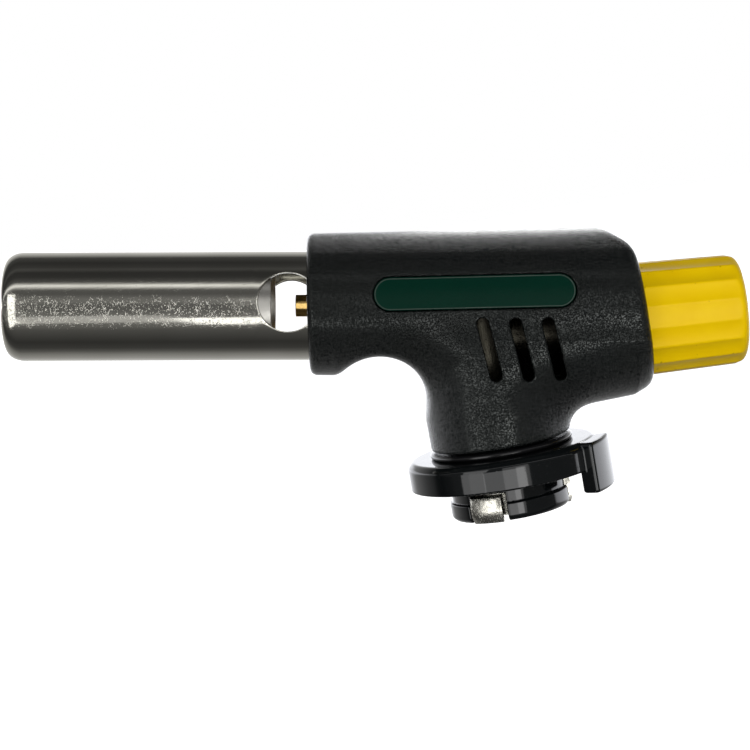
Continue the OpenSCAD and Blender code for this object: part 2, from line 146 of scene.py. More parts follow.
class Nodes:
    # a node tree; node() makes any node in it
    def __init__(self, tree):
        self.tree = tree

    def node(self, kind, settings={}, inputs={}):
        made = self.tree.nodes.new(kind)
        for key, setting in settings.items():
            if key == "stops":
                self.setStops(made.color_ramp, setting)
            else:
                setattr(made, key, setting)
        for key, given in inputs.items():
            feed(self.tree, made.inputs[key], given)
        return made

    def setStops(self, ramp, stops):
        while len(ramp.elements) < len(stops):
            ramp.elements.new(0.5)
        for element, (position, colour) in zip(ramp.elements, stops):
            element.position = position
            element.color = (*colour, 1)

    def value(self, socket):
        return Value(self.tree, socket)


class Painter(Nodes):
    # one material
    def __init__(self, name):
        self.material = bpy.data.materials.new(name)
        self.material.use_nodes = True
        super().__init__(self.material.node_tree)
        self.shader = self.tree.nodes["Principled BSDF"]
        self.place = self.node("ShaderNodeTexCoord").outputs["Object"]

    def burnerPlace(self):
        # how far along and above the burner's axis, in metres
        x, y, z = self.node("ShaderNodeSeparateXYZ", {}, {0: self.place}).outputs
        along, up = self.value(x), self.value(z) - burnerHeight * mm
        near, lift = math.cos(burnerTilt), math.sin(burnerTilt)
        return along * near - up * lift, up * near + along * lift

    def noise(self, scale, detail=2.0, roughness=0.5, stretch=None):
        place = self.place
        if stretch:
            place = self.node("ShaderNodeMapping", {}, {"Vector": place, **stretch}).outputs[0]
        made = self.node("ShaderNodeTexNoise", {}, {
            "Vector": place, "Scale": scale, "Detail": detail, "Roughness": roughness})
        return self.value(made.outputs["Fac"])

    def mix(self, amount, first, second):
        first, second = ((*c, 1) if isinstance(c, tuple) else c for c in (first, second))
        made = self.node("ShaderNodeMix", {"data_type": "RGBA"}, {0: amount, 6: first, 7: second})
        return made.outputs[2]

    def bump(self, height, distance, normal=None):
        made = self.node("ShaderNodeBump", {}, {"Height": height, "Distance": distance})
        if normal is not None:
            feed(self.tree, made.inputs["Normal"], normal)
        return made.outputs["Normal"]

    def finish(self, **sockets):
        for key, given in sockets.items():
            feed(self.tree, self.shader.inputs[key.replace("_", " ")], given)
        return self.material


housingLook = dict(colour=(0.0007, 0.0015, 0.0017), worn=(0.0026, 0.0031, 0.0027),
                   grain=2600, grainDepth=0.00011, roughness=0.17)


def housingPlastic():
    paint = Painter("housingPlastic")
    grain = paint.noise(housingLook["grain"], 3, 0.6)
    cloud = paint.noise(60, 2)
    pits = grain.ramp(0.42, 0.62)
    colour = paint.mix(cloud.ramp(0.35, 0.7) * 0.5 + pits * 0.3,
                       housingLook["colour"], housingLook["worn"])
    normal = paint.bump(pits, housingLook["grainDepth"])
    rough = housingLook["roughness"] + cloud * 0.06 - pits * 0.05
    return paint.finish(Base_Color=colour, Roughness=rough, Normal=normal,
                        Specular_IOR_Level=0.5, Specular_Tint=(0.95, 1.0, 0.96, 1))


collarLook = dict(colour=(0.002, 0.0028, 0.0032), roughness=0.04, flow=70, flowDepth=0.00003)


def collarPlastic():
    paint = Painter("collarPlastic")
    flow = paint.noise(collarLook["flow"], 2, 0.5)
    dust = paint.noise(1800, 2).ramp(0.62, 0.8)
    normal = paint.bump(flow, collarLook["flowDepth"])
    rough = collarLook["roughness"] + flow * 0.06 + dust * 0.2
    return paint.finish(Base_Color=paint.mix(dust * 0.3, collarLook["colour"], (0.02, 0.02, 0.02)),
                        Roughness=rough, Normal=normal)


def blackRubber():
    paint = Painter("blackRubber")
    skin = paint.noise(900, 3)
    return paint.finish(Base_Color=paint.mix(skin, (0.002, 0.002, 0.003), (0.006, 0.006, 0.006)),
                        Roughness=0.1 + skin * 0.12, Normal=paint.bump(skin, 0.00001))


labelPlan = dict(centre=(-1.25, 3.5), length=39.3, height=6.4, rise=1.2)
labelLook = dict(green=(0.0003, 0.019, 0.011), deep=(0.0002, 0.0145, 0.0085), flake=5200,
                 rim=(0.06, 0.075, 0.066), rimPlace=(-0.3, -0.22))   # rim is a painted highlight along the plate's rounded edge; its band in mm from the plate's outline


def labelGreen():
    paint = Painter("labelGreen")
    along, above = paint.burnerPlace()
    rise = math.radians(labelPlan["rise"])
    a, b = along - labelPlan["centre"][0] * mm, above - labelPlan["centre"][1] * mm
    half = labelPlan["height"] / 2 * mm
    straight = labelPlan["length"] / 2 * mm - half
    end = ((a * math.cos(rise) + b * math.sin(rise)).math("ABSOLUTE") - straight).math("MAXIMUM", 0)
    across = b * math.cos(rise) - a * math.sin(rise)
    outline = (end ** 2 + across * across).math("SQRT") - half
    inner, outer = (edge * mm for edge in labelLook["rimPlace"])
    soft = 0.08 * mm
    # painted highlight: a thin light band just inside the plate's outline, for light caught by its rounded edge
    rim = outline.ramp(inner - soft, inner) * (1 - outline.ramp(outer, outer + soft))
    flake = paint.noise(labelLook["flake"], 1)
    cloud = paint.noise(120, 2)
    colour = paint.mix(cloud, labelLook["green"], labelLook["deep"])
    # mixes the painted edge highlight into the green
    colour = paint.mix(rim * (0.4 + cloud * 0.8), colour, labelLook["rim"])
    return paint.finish(Base_Color=colour, Roughness=0.24 + flake * 0.12,
                        Normal=paint.bump(flake, 0.00002), Specular_IOR_Level=0.05)


nickelLook = dict(colour=(0.67, 0.655, 0.59), roughness=0.085, scratches=1500, specks=3200,
                  brush=1500, worn=(-0.4, 3.0))   # worn: height and half width of the scuffed band


def polishedNickel():
    paint = Painter("polishedNickel")
    turned = Matrix.Rotation(burnerTilt, 4, "Y").to_euler()
    along = paint.noise(nickelLook["brush"], 2, 0.6, {
        "Rotation": tuple(-a for a in turned), "Scale": (0.06, 1, 1)})
    height = paint.burnerPlace()[1]
    middle, half = nickelLook["worn"]
    band = 1 - (height - middle * mm).math("ABSOLUTE").ramp(0.4 * half * mm, 1.3 * half * mm)
    marks = paint.node("ShaderNodeTexVoronoi", {"feature": "DISTANCE_TO_EDGE"}, {
        "Vector": paint.place, "Scale": nickelLook["scratches"], "Randomness": 1.0})
    hairline = 1 - paint.value(marks.outputs["Distance"]).ramp(0.0, 0.06)
    specks = paint.noise(nickelLook["specks"], 2, 0.6).ramp(0.6, 0.78)
    patches = paint.noise(700, 3, 0.7).ramp(0.52, 0.68)
    scratch = (hairline * patches + specks * 0.7) * (band * 0.92 + 0.08)
    haze = paint.noise(45, 2).ramp(0.4, 0.7)
    normal = paint.bump(scratch, 0.00003, paint.bump(along, 0.000004))
    return paint.finish(
        Base_Color=paint.mix(haze, nickelLook["colour"], (0.6, 0.585, 0.52)),
        Metallic=1.0, Roughness=nickelLook["roughness"] + haze * 0.04 + scratch * 0.2,
        Normal=normal)


def turnedMetal(name, colour, dark, roughness, grain=2400, depth=0.00001):
    paint = Painter(name)
    cut = paint.noise(grain, 2, 0.6)
    cloud = paint.noise(300, 3)
    return paint.finish(Base_Color=paint.mix(cloud, colour, dark), Metallic=1.0,
                        Roughness=roughness + cut * 0.12, Normal=paint.bump(cut, depth))


zincLook = dict(colour=(0.88, 0.86, 0.78), dark=(0.62, 0.6, 0.53), crust=800, depth=0.00007,
                stained=(0.07, 0.065, 0.05), clean=(-1, 5))    # bare colour below, dark colour above, heights in mm


def castZinc():
    paint = Painter("castZinc")
    crust = paint.noise(zincLook["crust"], 4, 0.65)
    pores = paint.noise(3200, 2).ramp(0.58, 0.75)
    normal = paint.bump(crust + pores * 0.3, zincLook["depth"])
    height = paint.value(paint.node("ShaderNodeSeparateXYZ", {}, {0: paint.place}).outputs["Z"])
    low, high = zincLook["clean"]
    # darker towards the top: bare metal at -1 mm, the dark colour from 5 mm up
    darkShare = height.ramp(low * mm, high * mm)
    bare = paint.mix(crust.ramp(0.3, 0.7), zincLook["dark"], zincLook["colour"])
    return paint.finish(Base_Color=paint.mix(darkShare, bare, zincLook["stained"]), Metallic=1.0,
                        Roughness=0.24 + pores * 0.2 + darkShare * 0.15, Normal=normal)


knobLook = dict(yellow=(0.8, 0.55, 0.001), deep=(0.7, 0.43, 0.0006), roughness=0.3)


def knobYellow():
    paint = Painter("knobYellow")
    cloud = paint.noise(140, 3)
    grain = paint.noise(3000, 2)
    specks = paint.noise(700, 1).ramp(0.73, 0.78)
    colour = paint.mix(specks * 0.5, paint.mix(cloud, knobLook["yellow"], knobLook["deep"]),
                       (0.25, 0.13, 0.0))
    return paint.finish(Base_Color=colour, Roughness=knobLook["roughness"] + cloud * 0.1,
                        Normal=paint.bump(grain, 0.00001), Specular_IOR_Level=0.12)


def whitePtfe():
    paint = Painter("whitePtfe")
    cloud = paint.noise(500, 2)
    return paint.finish(Base_Color=paint.mix(cloud, (0.8, 0.8, 0.77), (0.7, 0.7, 0.66)),
                        Roughness=0.4 + cloud * 0.1)


finishes = {
    "housing_plastic": housingPlastic(),
    "collar_plastic": collarPlastic(),
    "black_rubber": blackRubber(),
    "label_green": labelGreen(),
    "polished_nickel": polishedNickel(),
    "plain_steel": turnedMetal("plainSteel", (0.5, 0.49, 0.46), (0.34, 0.33, 0.3), 0.25),
    "screw_steel": turnedMetal("screwSteel", (0.6, 0.6, 0.6), (0.42, 0.42, 0.4), 0.22),
    "turned_brass": turnedMetal("turnedBrass", (0.82, 0.56, 0.2), (0.6, 0.38, 0.12), 0.16),
    "sintered_bronze": turnedMetal("sinteredBronze", (0.5, 0.32, 0.18), (0.2, 0.12, 0.07), 0.5,
                                   1500, 0.0001),
    "cast_zinc": castZinc(),
    "white_ptfe": whitePtfe(),
    "knob_yellow": knobYellow(),
}
slots = {s["node"]: s["material_slot"] for s in frame["record"]["subparts"]}
bodies = {n: b for b, nodes in frame["record"]["behaviour"]["bodies"].items() for n in nodes}
print("materials made")


def pieceFrom(name, points, faces, node, normals=None):
    # points in mm in the row frame; the piece stands for that CAD node
    mesh = bpy.data.meshes.new(name)
    mesh.from_pydata((points * mm).tolist(), [], [list(map(int, f)) for f in faces])
    mesh.polygons.foreach_set("use_smooth", [True] * len(mesh.polygons))
    mesh.update()
    if normals is not None:
        mesh.normals_split_custom_set_from_vertices(normals.tolist())
    piece = bpy.data.objects.new(name, mesh)
    scene.collection.objects.link(piece)
    return dress(piece, node)


def dress(piece, node):
    piece.data.materials.clear()
    piece.data.materials.append(finishes[slots[node]])
    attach(piece, bodies[node])
    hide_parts(node)
    return piece


def joinMax(a, b, soft):
    # intersection with a rounded edge
    share = np.clip(0.5 + 0.5 * (a - b) / soft, 0, 1)
    return a * share + b * (1 - share) + soft * share * (1 - share)


def joinMin(a, b, soft):
    return -joinMax(-a, -b, soft)


def cut(a, b, soft):
    return joinMax(a, -b, soft)


def slopes(field, points, h):
    out = np.empty_like(points)
    for axis in range(3):
        shift = np.zeros(3)
        shift[axis] = h
        out[:, axis] = (field(points + shift) - field(points - shift)) / (2 * h)
    return out


def snap(field, points, step, rounds):
    # moves points onto the surface where field is zero
    for _ in range(rounds):
        slope = slopes(field, points, step * 0.15)
        size = np.maximum((slope ** 2).sum(1), 0.2)
        move = slope * (field(points) / size)[:, None]
        length = np.linalg.norm(move, axis=1, keepdims=True)
        points = points - move * np.minimum(1, step * 0.5 / np.maximum(length, 1e-9))
    return points


def surfaceNet(field, low, high, step):
    # closed quad mesh of the surface where field is zero, negative inside
    axes = [np.arange(a, b + step, step) for a, b in zip(low, high)]
    shape = [len(a) for a in axes]
    grid = np.stack(np.meshgrid(*axes, indexing="ij"), -1).reshape(-1, 3)
    value = field(grid).reshape(shape)
    cells = [n - 1 for n in shape]
    total = np.zeros((*cells, 3))
    count = np.zeros(cells)
    crossings = []
    for axis in range(3):
        first = np.take(value, range(cells[axis]), axis)
        second = np.take(value, range(1, shape[axis]), axis)
        crossing = (first < 0) != (second < 0)
        share = np.where(crossing, first / np.where(crossing, first - second, 1), 0)
        crossings.append((crossing, first < 0))
        u, v = (axis + 1) % 3, (axis + 2) % 3
        for du in (0, 1):
            for dv in (0, 1):
                part = [slice(None)] * 3
                part[u] = slice(du, du + cells[u])
                part[v] = slice(dv, dv + cells[v])
                hit = crossing[tuple(part)]
                count += hit
                total[..., axis] += share[tuple(part)]
                total[..., u] += hit * du
                total[..., v] += hit * dv
    active = count > 0
    number = np.full(cells, -1)
    number[active] = np.arange(active.sum())
    points = (np.argwhere(active) + total[active] / count[active][:, None]) * step + low
    quads = []
    for axis, (crossing, rising) in enumerate(crossings):
        u, v = (axis + 1) % 3, (axis + 2) % 3
        at = np.argwhere(crossing)
        at = at[(at[:, u] > 0) & (at[:, v] > 0) & (at[:, u] < cells[u]) & (at[:, v] < cells[v])]
        stepU, stepV = np.eye(3, dtype=int)[u], np.eye(3, dtype=int)[v]
        ring = np.stack([number[tuple((at - a * stepU - b * stepV).T)]
                         for a, b in ((1, 1), (0, 1), (0, 0), (1, 0))], 1)
        outward = rising[tuple(at.T)]
        quads.append(np.where(outward[:, None], ring, ring[:, ::-1]))
    quads = np.concatenate(quads)
    for _ in range(2):
        points = relax(points, quads)
        points = snap(field, points, step, 3)
    return points, quads


def relax(points, quads):
    # moves each point half way to the middle of its neighbours
    total = np.zeros_like(points)
    count = np.zeros(len(points))
    for a, b in ((0, 1), (1, 2), (2, 3), (3, 0)):
        np.add.at(total, quads[:, a], points[quads[:, b]])
        np.add.at(total, quads[:, b], points[quads[:, a]])
        np.add.at(count, quads[:, a], 1)
        np.add.at(count, quads[:, b], 1)
    return points * 0.5 + total / np.maximum(count, 1)[:, None] * 0.5


def carved(name, node, field, step):
    # a piece from a field, in the box of its CAD node
    low, high = span(node)
    points, quads = surfaceNet(field, low - step * 2.5, high + step * 2.5, step)
    normals = slopes(field, points, step * 0.15)
    normals /= np.maximum(np.linalg.norm(normals, axis=1, keepdims=True), 1e-9)
    print(name, len(points), "points", len(quads), "quads")
    return pieceFrom(name, points, quads, node, normals)


def settled(piece):
    # replaces the piece's mesh by what its modifiers make of it
    evaluated = piece.evaluated_get(bpy.context.evaluated_depsgraph_get())
    plain = bpy.data.meshes.new_from_object(evaluated)
    piece.modifiers.clear()
    piece.data = plain
    plain.name = piece.name
    plain.polygons.foreach_set("use_smooth", [True] * len(plain.polygons))


def faceOutwards(mesh):
    shape = bmesh.new()
    shape.from_mesh(mesh)
    bmesh.ops.recalc_face_normals(shape, faces=shape.faces)
    shape.to_mesh(mesh)
    shape.free()


def bevelled(name, node, width):
    # a CAD node's own shape with its edges rounded
    mesh = frame["nodes"][node].data.copy()
    mesh.name = name
    shape = bmesh.new()
    shape.from_mesh(mesh)
    bmesh.ops.remove_doubles(shape, verts=shape.verts, dist=1e-7)
    bmesh.ops.dissolve_limit(shape, angle_limit=math.radians(0.5), verts=shape.verts,
                             edges=shape.edges)
    shape.to_mesh(mesh)
    shape.free()
    piece = bpy.data.objects.new(name, mesh)
    scene.collection.objects.link(piece)
    rounding = piece.modifiers.new("rounding", "BEVEL")
    rounding.width = width * mm
    rounding.segments = 2
    rounding.limit_method = "ANGLE"
    rounding.angle_limit = math.radians(32)
    settled(piece)
    piece.data.set_sharp_from_angle(angle=math.radians(40))
    return dress(piece, node)


housing = dict(
    wall=2.0,            # mm
    frontRadius=14.25,
    flare=0.0175,        # radius gained per mm towards the rear
    centre=0.25,         # the barrel's middle above the burner axis
    front=dict(setBack=0.3, lean=0.017, at=-14, edge=1.6),
    rearEdge=2.0,
    underside=((18, -20.9, 0.2), (34.7, -16.2, 0.62)),   # points of its two lines and their rise
    block=dict(start=8, edge=2.0, fadeFrom=-6, fadeTo=0, fade=3),     # the deep rear part
    stem=dict(radius=14.1, draft=0.012, top=-6, topEdge=4.0, footEdge=0.8),
    saddle=6.0,          # blend between barrel and stem
    notch=dict(radius=9.2, behind=5.1, z=-18.75, lowest=12, edge=1.6),
    chamfer=dict(start=(24.8, 15.55), end=(31.0, 11.7), edge=1.2),
    ribs=dict(tube=-18.8, stem=18.3, spindle=15.8, half=0.8),         # inner cradles
    rearWall=2.7,
    gaps=dict(tube=0.12, knob=0.35, knobFloor=0.7),
    vents=dict(count=3, first=(1.6, -7.7), pitch=6.35, length=12.7, width=2.3, lean=14.5, edge=0.45),
    label=dict(labelPlan, depth=1.1, gap=0.3, sink=0.22),
    posts=((-10, 9.5), (22, 10), (24, -14.5)),
    stemPost=(-9.8, 15.2),
    post=dict(radius=2.8, seat=3.15, height=5, cover=0.5),
    parting=0.03,
    cell=0.36,           # mesh size
)
shellLow, shellHigh = span("left_shell")
barrelFront = span("left_shell", burnerFrame)[0][0]
rearFace = shellHigh[0]
stemBase = shellLow[2]
tubeLow, tubeHigh = span("burner_tube", burnerFrame)
tubeRadius = tubeHigh[1]
knobLow, knobHigh = span("knob", spindleFrame)
knobRadius = knobHigh[1]


def stadium(a, b, length, height):
    # distance to a stadium lying along a
    return np.hypot(np.maximum(np.abs(a) - (length - height) / 2, 0), b) - height / 2


def barrelForm(x, y, z):
    # round barrel with a deeper block hanging from its rear
    h, block = housing, housing["block"]
    radius = h["frontRadius"] + h["flare"] * (x - barrelFront)
    barrel = np.hypot(y, z - h["centre"]) - radius
    lowest = radius + np.maximum(*[pz + (x - px) * rise for px, pz, rise in h["underside"]])
    reach = np.clip(z, np.minimum(lowest, h["centre"]), h["centre"])
    deep = np.sqrt(np.maximum(block["start"] - x, 0) ** 2 + y ** 2 + (z - reach) ** 2) - radius
    share = (z - block["fadeFrom"]) / (block["fadeTo"] - block["fadeFrom"])
    return joinMin(barrel, deep + np.clip(share, 0, 1) * block["fade"], block["edge"])


def outerForm(p):
    h, stem, notch, front = housing, housing["stem"], housing["notch"], housing["front"]
    x, y, z = toFrame(p, burnerFrame).T
    form = barrelForm(x, y, z)
    radius = stem["radius"] + stem["draft"] * (p[:, 2] - stemBase)
    post = np.hypot(p[:, 0], p[:, 1]) - radius
    post = joinMax(post, p[:, 2] - burnerHeight - stem["top"], stem["topEdge"])
    form = joinMin(form, post, h["saddle"])
    notchX = barrelFront + notch["behind"] + notch["radius"]
    hollow = np.hypot(x - notchX, z - notch["z"]) - notch["radius"]
    form = cut(form, np.maximum(hollow, notch["lowest"] - p[:, 2]), notch["edge"])
    face = barrelFront + front["setBack"] - front["lean"] * (z - front["at"])
    form = joinMax(form, face - x, front["edge"])
    (ax, az), (bx, bz) = h["chamfer"]["start"], h["chamfer"]["end"]
    corner = ((x - ax) * (az - bz) + (z - az) * (bx - ax)) / math.hypot(bx - ax, bz - az)
    form = joinMax(form, corner, h["chamfer"]["edge"])
    form = joinMax(form, p[:, 0] - rearFace, h["rearEdge"])
    return joinMax(form, stemBase - p[:, 2], stem["footEdge"])


def labelArea(p, grow):
    spot = housing["label"]
    x, y, z = toFrame(p, burnerFrame).T
    rise = math.radians(spot["rise"])
    a, b = x - spot["centre"][0], z - spot["centre"][1]
    along = a * math.cos(rise) + b * math.sin(rise)
    across = b * math.cos(rise) - a * math.sin(rise)
    return stadium(along, across, spot["length"] + grow, spot["height"] + grow)


def ventArea(p):
    v = housing["vents"]
    x, y, z = toFrame(p, burnerFrame).T
    lean = math.radians(90 + v["lean"])
    area = np.full(len(p), 1e3)
    for i in range(v["count"]):
        a, b = x - v["first"][0] - i * v["pitch"], z - v["first"][1]
        along = a * math.cos(lean) + b * math.sin(lean)
        across = b * math.cos(lean) - a * math.sin(lean)
        area = np.minimum(area, stadium(along, across, v["length"], v["width"]))
    return area


def shellField(side):
    # side is -1 for the near shell and 1 for the far one
    def field(p):
        h, ribs, gaps = housing, housing["ribs"], housing["gaps"]
        form = outerForm(p)
        x, y, z = toFrame(p, burnerFrame).T
        u, v, w = toFrame(p, spindleFrame).T
        rowX, rowY, rowZ = p.T
        hollow = joinMax(form + h["wall"], u - (knobLow[0] - h["rearWall"]), 0.5)
        for away in (x - ribs["tube"], rowZ - ribs["stem"], u - ribs["spindle"]):
            hollow = cut(hollow, np.abs(away) - ribs["half"], 0.3)
        shell = cut(form, hollow, 0.4)
        bores = (
            (y, z, tubeRadius + gaps["tube"], x - barrelFront - 6, 0.25),            # burner tube
            (v, w, knobRadius + gaps["knob"], knobLow[0] - gaps["knobFloor"] - u, 0.5),   # knob
            (v, w, 6.1, 20 - u, 0.3),                                # gland nut
            (v, w, 5.1, np.abs(u - 16) - 3, 0.2),                    # valve body's arm
            (y, z, 6.1, np.abs(x + 19) - 3, 0.2),                    # jet holder
            (rowX, rowY, 7.6, np.abs(rowZ - 18.5) - 2, 0.2),         # valve body's leg
            (rowX, rowY, 11.1, rowZ - 12, 0.3),                      # skirt's upper end
        )
        for a, b, radius, reach, edge in bores:
            shell = cut(shell, np.maximum(np.hypot(a, b) - radius, reach), edge)
        if side < 0:
            shell = cut(shell, np.maximum(ventArea(p), y + 6), h["vents"]["edge"])
            area = labelArea(p, h["label"]["gap"])
            pocket = np.maximum(np.maximum(area, -form - h["label"]["depth"]), y + 4)
            shell = cut(shell, pocket, 0.35)
        else:
            for px, pz in h["posts"]:
                shell = screwSeat(shell, form, x - px, y, z - pz)
            stemX, stemZ = h["stemPost"]
            shell = screwSeat(shell, form, rowX - stemX, y, rowZ - stemZ)
        return joinMax(shell, h["parting"] - side * y, 0.3)
    return field


def screwSeat(shell, form, a, y, b):
    # post with a sunk seat for the screw head
    s = housing["post"]
    post = np.maximum(np.hypot(a, b) - s["radius"], form + s["cover"])
    shell = np.minimum(shell, np.maximum(post, y - s["height"]))
    return cut(shell, np.maximum(np.hypot(a, b) - s["seat"], s["height"] - y), 0.4)


carved("leftShell", "left_shell", shellField(-1), housing["cell"])
carved("rightShell", "right_shell", shellField(1), housing["cell"])


def labelField(p):
    spot = housing["label"]
    form = outerForm(p)
    area = labelArea(p, 0)
    plate = joinMax(form + spot["sink"], -form - spot["depth"] + 0.05, 0.2)
    return np.maximum(joinMax(area, plate, 0.3), p[:, 1] + 4)


carved("labelPlate", "label_plate", labelField, 0.2)
print("housing made")


collar = dict(edge=0.35, chamfer=1.0, hole=12.18, holeEdge=0.4, rim=16.0, plate=3.5, blend=0.25,
              tab=dict(centre=-23.5, angle=31.0, inner=18.0, outer=21.7, drop=0.1, edge=0.7))
ringLow, ringHigh = span("lock_ring")
ringRadius = ringHigh[1]
ringTop = ringHigh[2]
tabBottom = ringLow[2]


def wedge(x, y, place, angle):
    # both sides of a wedge from the axis, at place and angle wide in degrees
    turn, half = math.radians(place), math.radians(angle / 2)
    a = x * math.cos(turn) + y * math.sin(turn)
    b = y * math.cos(turn) - x * math.sin(turn)
    return a, b * math.cos(half) - a * math.sin(half), -b * math.cos(half) - a * math.sin(half)


def ringField(p):
    c, t = collar, collar["tab"]
    x, y, z = p.T
    r = np.hypot(x, y)
    disc = joinMax(r - ringRadius, z - ringTop, c["edge"])
    slant = (r + z - ringRadius - ringTop + c["chamfer"]) / math.sqrt(2)
    disc = joinMax(disc, slant, c["edge"])
    disc = joinMax(disc, -z, c["edge"])
    _, sideA, sideB = wedge(x, y, t["centre"], t["angle"])
    tab = joinMax(sideA, sideB, 0.3)
    for face in (r - t["outer"], t["inner"] - r, tabBottom - z, z - ringTop + t["drop"]):
        tab = joinMax(tab, face, t["edge"])
    form = joinMin(disc, tab, c["blend"])
    form = cut(form, np.maximum(r - c["rim"], z - c["plate"]), c["blend"])
    return cut(form, r - c["hole"], c["holeEdge"])


carved("lockRing", "lock_ring", ringField, 0.33)

skirt = dict(
    bore=9.1,
    foot=0.06,           # kept above the CAD piece's lowest point
    lip=(12.2, -3.6),    # radius and top
    neck=(11.6, 1),
    flange=(15.65, 0.2, 3.15),       # radius, bottom and top
    spigot=(12.1, 1, 7.1),
    collar=(11, 2),      # radius and bottom
    window=dict(top=-1.6, angle=39, places=(-116, 4, 124)),
    edge=0.3,
    footEdge=1.2,
)
skirtLow, skirtHigh = span("bayonet_skirt")


def skirtField(p):
    s, soft = skirt, skirt["edge"]
    foot = skirtLow[2] + s["foot"]
    x, y, z = p.T
    r = np.hypot(x, y)
    lip = joinMax(r - s["lip"][0], z - s["lip"][1], soft)
    lip = joinMax(lip, foot - z, s["footEdge"])
    neck = joinMax(r - s["neck"][0], z - s["neck"][1], 0.2)
    form = joinMin(np.maximum(neck, foot - z), lip, 0.2)
    radius, bottom, top = s["flange"]
    form = joinMin(form, joinMax(r - radius, joinMax(z - top, bottom - z, soft), soft), soft)
    radius, bottom, top = s["spigot"]
    spigot = joinMax(joinMax(r - radius, z - top, soft), bottom - z, soft)
    radius, bottom = s["collar"]
    upper = joinMax(joinMax(r - radius, z - skirtHigh[2], soft), bottom - z, soft)
    form = np.minimum(form, np.minimum(spigot, upper))
    form = cut(form, r - s["bore"], soft)
    for place in s["window"]["places"]:
        a, sideA, sideB = wedge(x, y, place, s["window"]["angle"])
        window = np.maximum(np.maximum(sideA, sideB), -a)
        form = cut(form, joinMax(window, z - s["window"]["top"], 0.4), 0.35)
    return form


carved("bayonetSkirt", "bayonet_skirt", skirtField, 0.3)
print("collar made")


tube = dict(
    wall=0.8,
    lip=2.1,             # how far the front edge curls in
    roll=3.5,            # and how far back the curl starts
    hole=dict(radius=5.8, turn=-8.7, edge=0.18, front=3.8),
    patch=7.6,           # half width of the square patch around each air hole
    patchSteps=16,
    arcSteps=20,
    rowStep=2.0,
)
holeX = barrelFront - tube["hole"]["front"]


def tubeAngles(nearAngle):
    # columns around, with even steps through both hole patches
    t = tube
    reach = math.asin(t["patch"] / tubeRadius)
    angles = []
    for middle in (nearAngle, nearAngle + math.pi):
        angles += list(np.linspace(middle - reach, middle + reach, t["patchSteps"] + 1)[:-1])
        angles += list(np.linspace(middle + reach, middle + math.pi - reach, t["arcSteps"] + 1)[:-1])
    return angles


def tubeProfile():
    # places and radii forward along the outside, round the lip and back inside,
    # and how many rows come before the hole patch
    t = tube
    inner, half = tubeRadius - t["wall"], t["wall"] / 2
    front, back = tubeLow[0], tubeHigh[0]
    lipRadius, rollEnd = tubeRadius - t["lip"], front + t["roll"]
    patchX = np.linspace(holeX + t["patch"], holeX - t["patch"], t["patchSteps"] + 1)
    backX = np.linspace(back, patchX[0], 3)[:-1]
    frontX = np.linspace(patchX[-1], rollEnd, int((patchX[-1] - front) / t["rowStep"]))[1:]
    outside = [(x, tubeRadius) for x in (*backX, *patchX, *frontX)]
    curl = [(front + t["roll"] * (1 - math.sin(a)), tubeRadius - t["lip"] * (1 - math.cos(a)))
            for a in np.linspace(0, math.pi / 2, 13)[1:]]
    mouth = [(front + half - half * math.cos(a), lipRadius - half * math.sin(a))
             for a in np.linspace(0, math.pi, 7)[1:-1]]
    curlBack = [(rollEnd - (t["roll"] - t["wall"]) * math.cos(a),
                 lipRadius + (t["lip"] - t["wall"]) * math.sin(a))
                for a in np.linspace(0, math.pi / 2, 6)[:-1]]
    inside = [(x, inner) for x in (*frontX[::-1], *patchX[::-1], *backX[::-1])]
    return outside + curl + mouth + curlBack + inside, len(backX)


def holeWall(points, faces, profile, angles, middle, top, left):
    # rings from the outer patch's border, through the wall, to the inner patch's border
    hole, inner = tube["hole"], tubeRadius - tube["wall"]
    rows, columns, edge = len(profile), len(angles), hole["edge"]
    bottom, right = top + tube["patchSteps"], left + tube["patchSteps"]
    border = [(top, j) for j in range(left, right)]
    border += [(i, right) for i in range(top, bottom)]
    border += [(bottom, j) for j in range(right, left, -1)]
    border += [(i, left) for i in range(bottom, top, -1)]

    def onRing(i, j, radius, share, depth):
        # share is how far out towards the border the point stays
        x = profile[i][0]
        w = depth * math.sin(angles[j % columns] - middle)
        turn = math.atan2(w, x - holeX)
        ringX, ringW = holeX + radius * math.cos(turn), radius * math.sin(turn)
        x, w = ringX + (x - ringX) * share, ringW + (w - ringW) * share
        a = middle + math.asin(w / depth)
        points.append((x, depth * math.cos(a), depth * math.sin(a)))
        return len(points) - 1

    shares, wide = (0.75, 0.4, 0.12), hole["radius"] + edge
    stations = [(wide, share, tubeRadius) for share in shares]
    stations += [(hole["radius"] + edge * (1 - math.sin(a)), 0, tubeRadius - edge * (1 - math.cos(a)))
                 for a in np.linspace(0, math.pi / 2, 5)]
    stations += [(hole["radius"] + edge * (1 - math.cos(a)), 0, inner + edge * (1 - math.sin(a)))
                 for a in np.linspace(0, math.pi / 2, 4)]
    stations += [(wide, share, inner) for share in shares[::-1]]
    rings = [[i * columns + j for i, j in border]]
    rings += [[onRing(i, j, *station) for i, j in border] for station in stations]
    rings.append([(rows - 1 - i) * columns + j for i, j in border])
    for a, b in zip(rings, rings[1:]):
        for n in range(len(a)):
            m = (n + 1) % len(a)
            faces.append((a[n], a[m], b[m], b[n]))


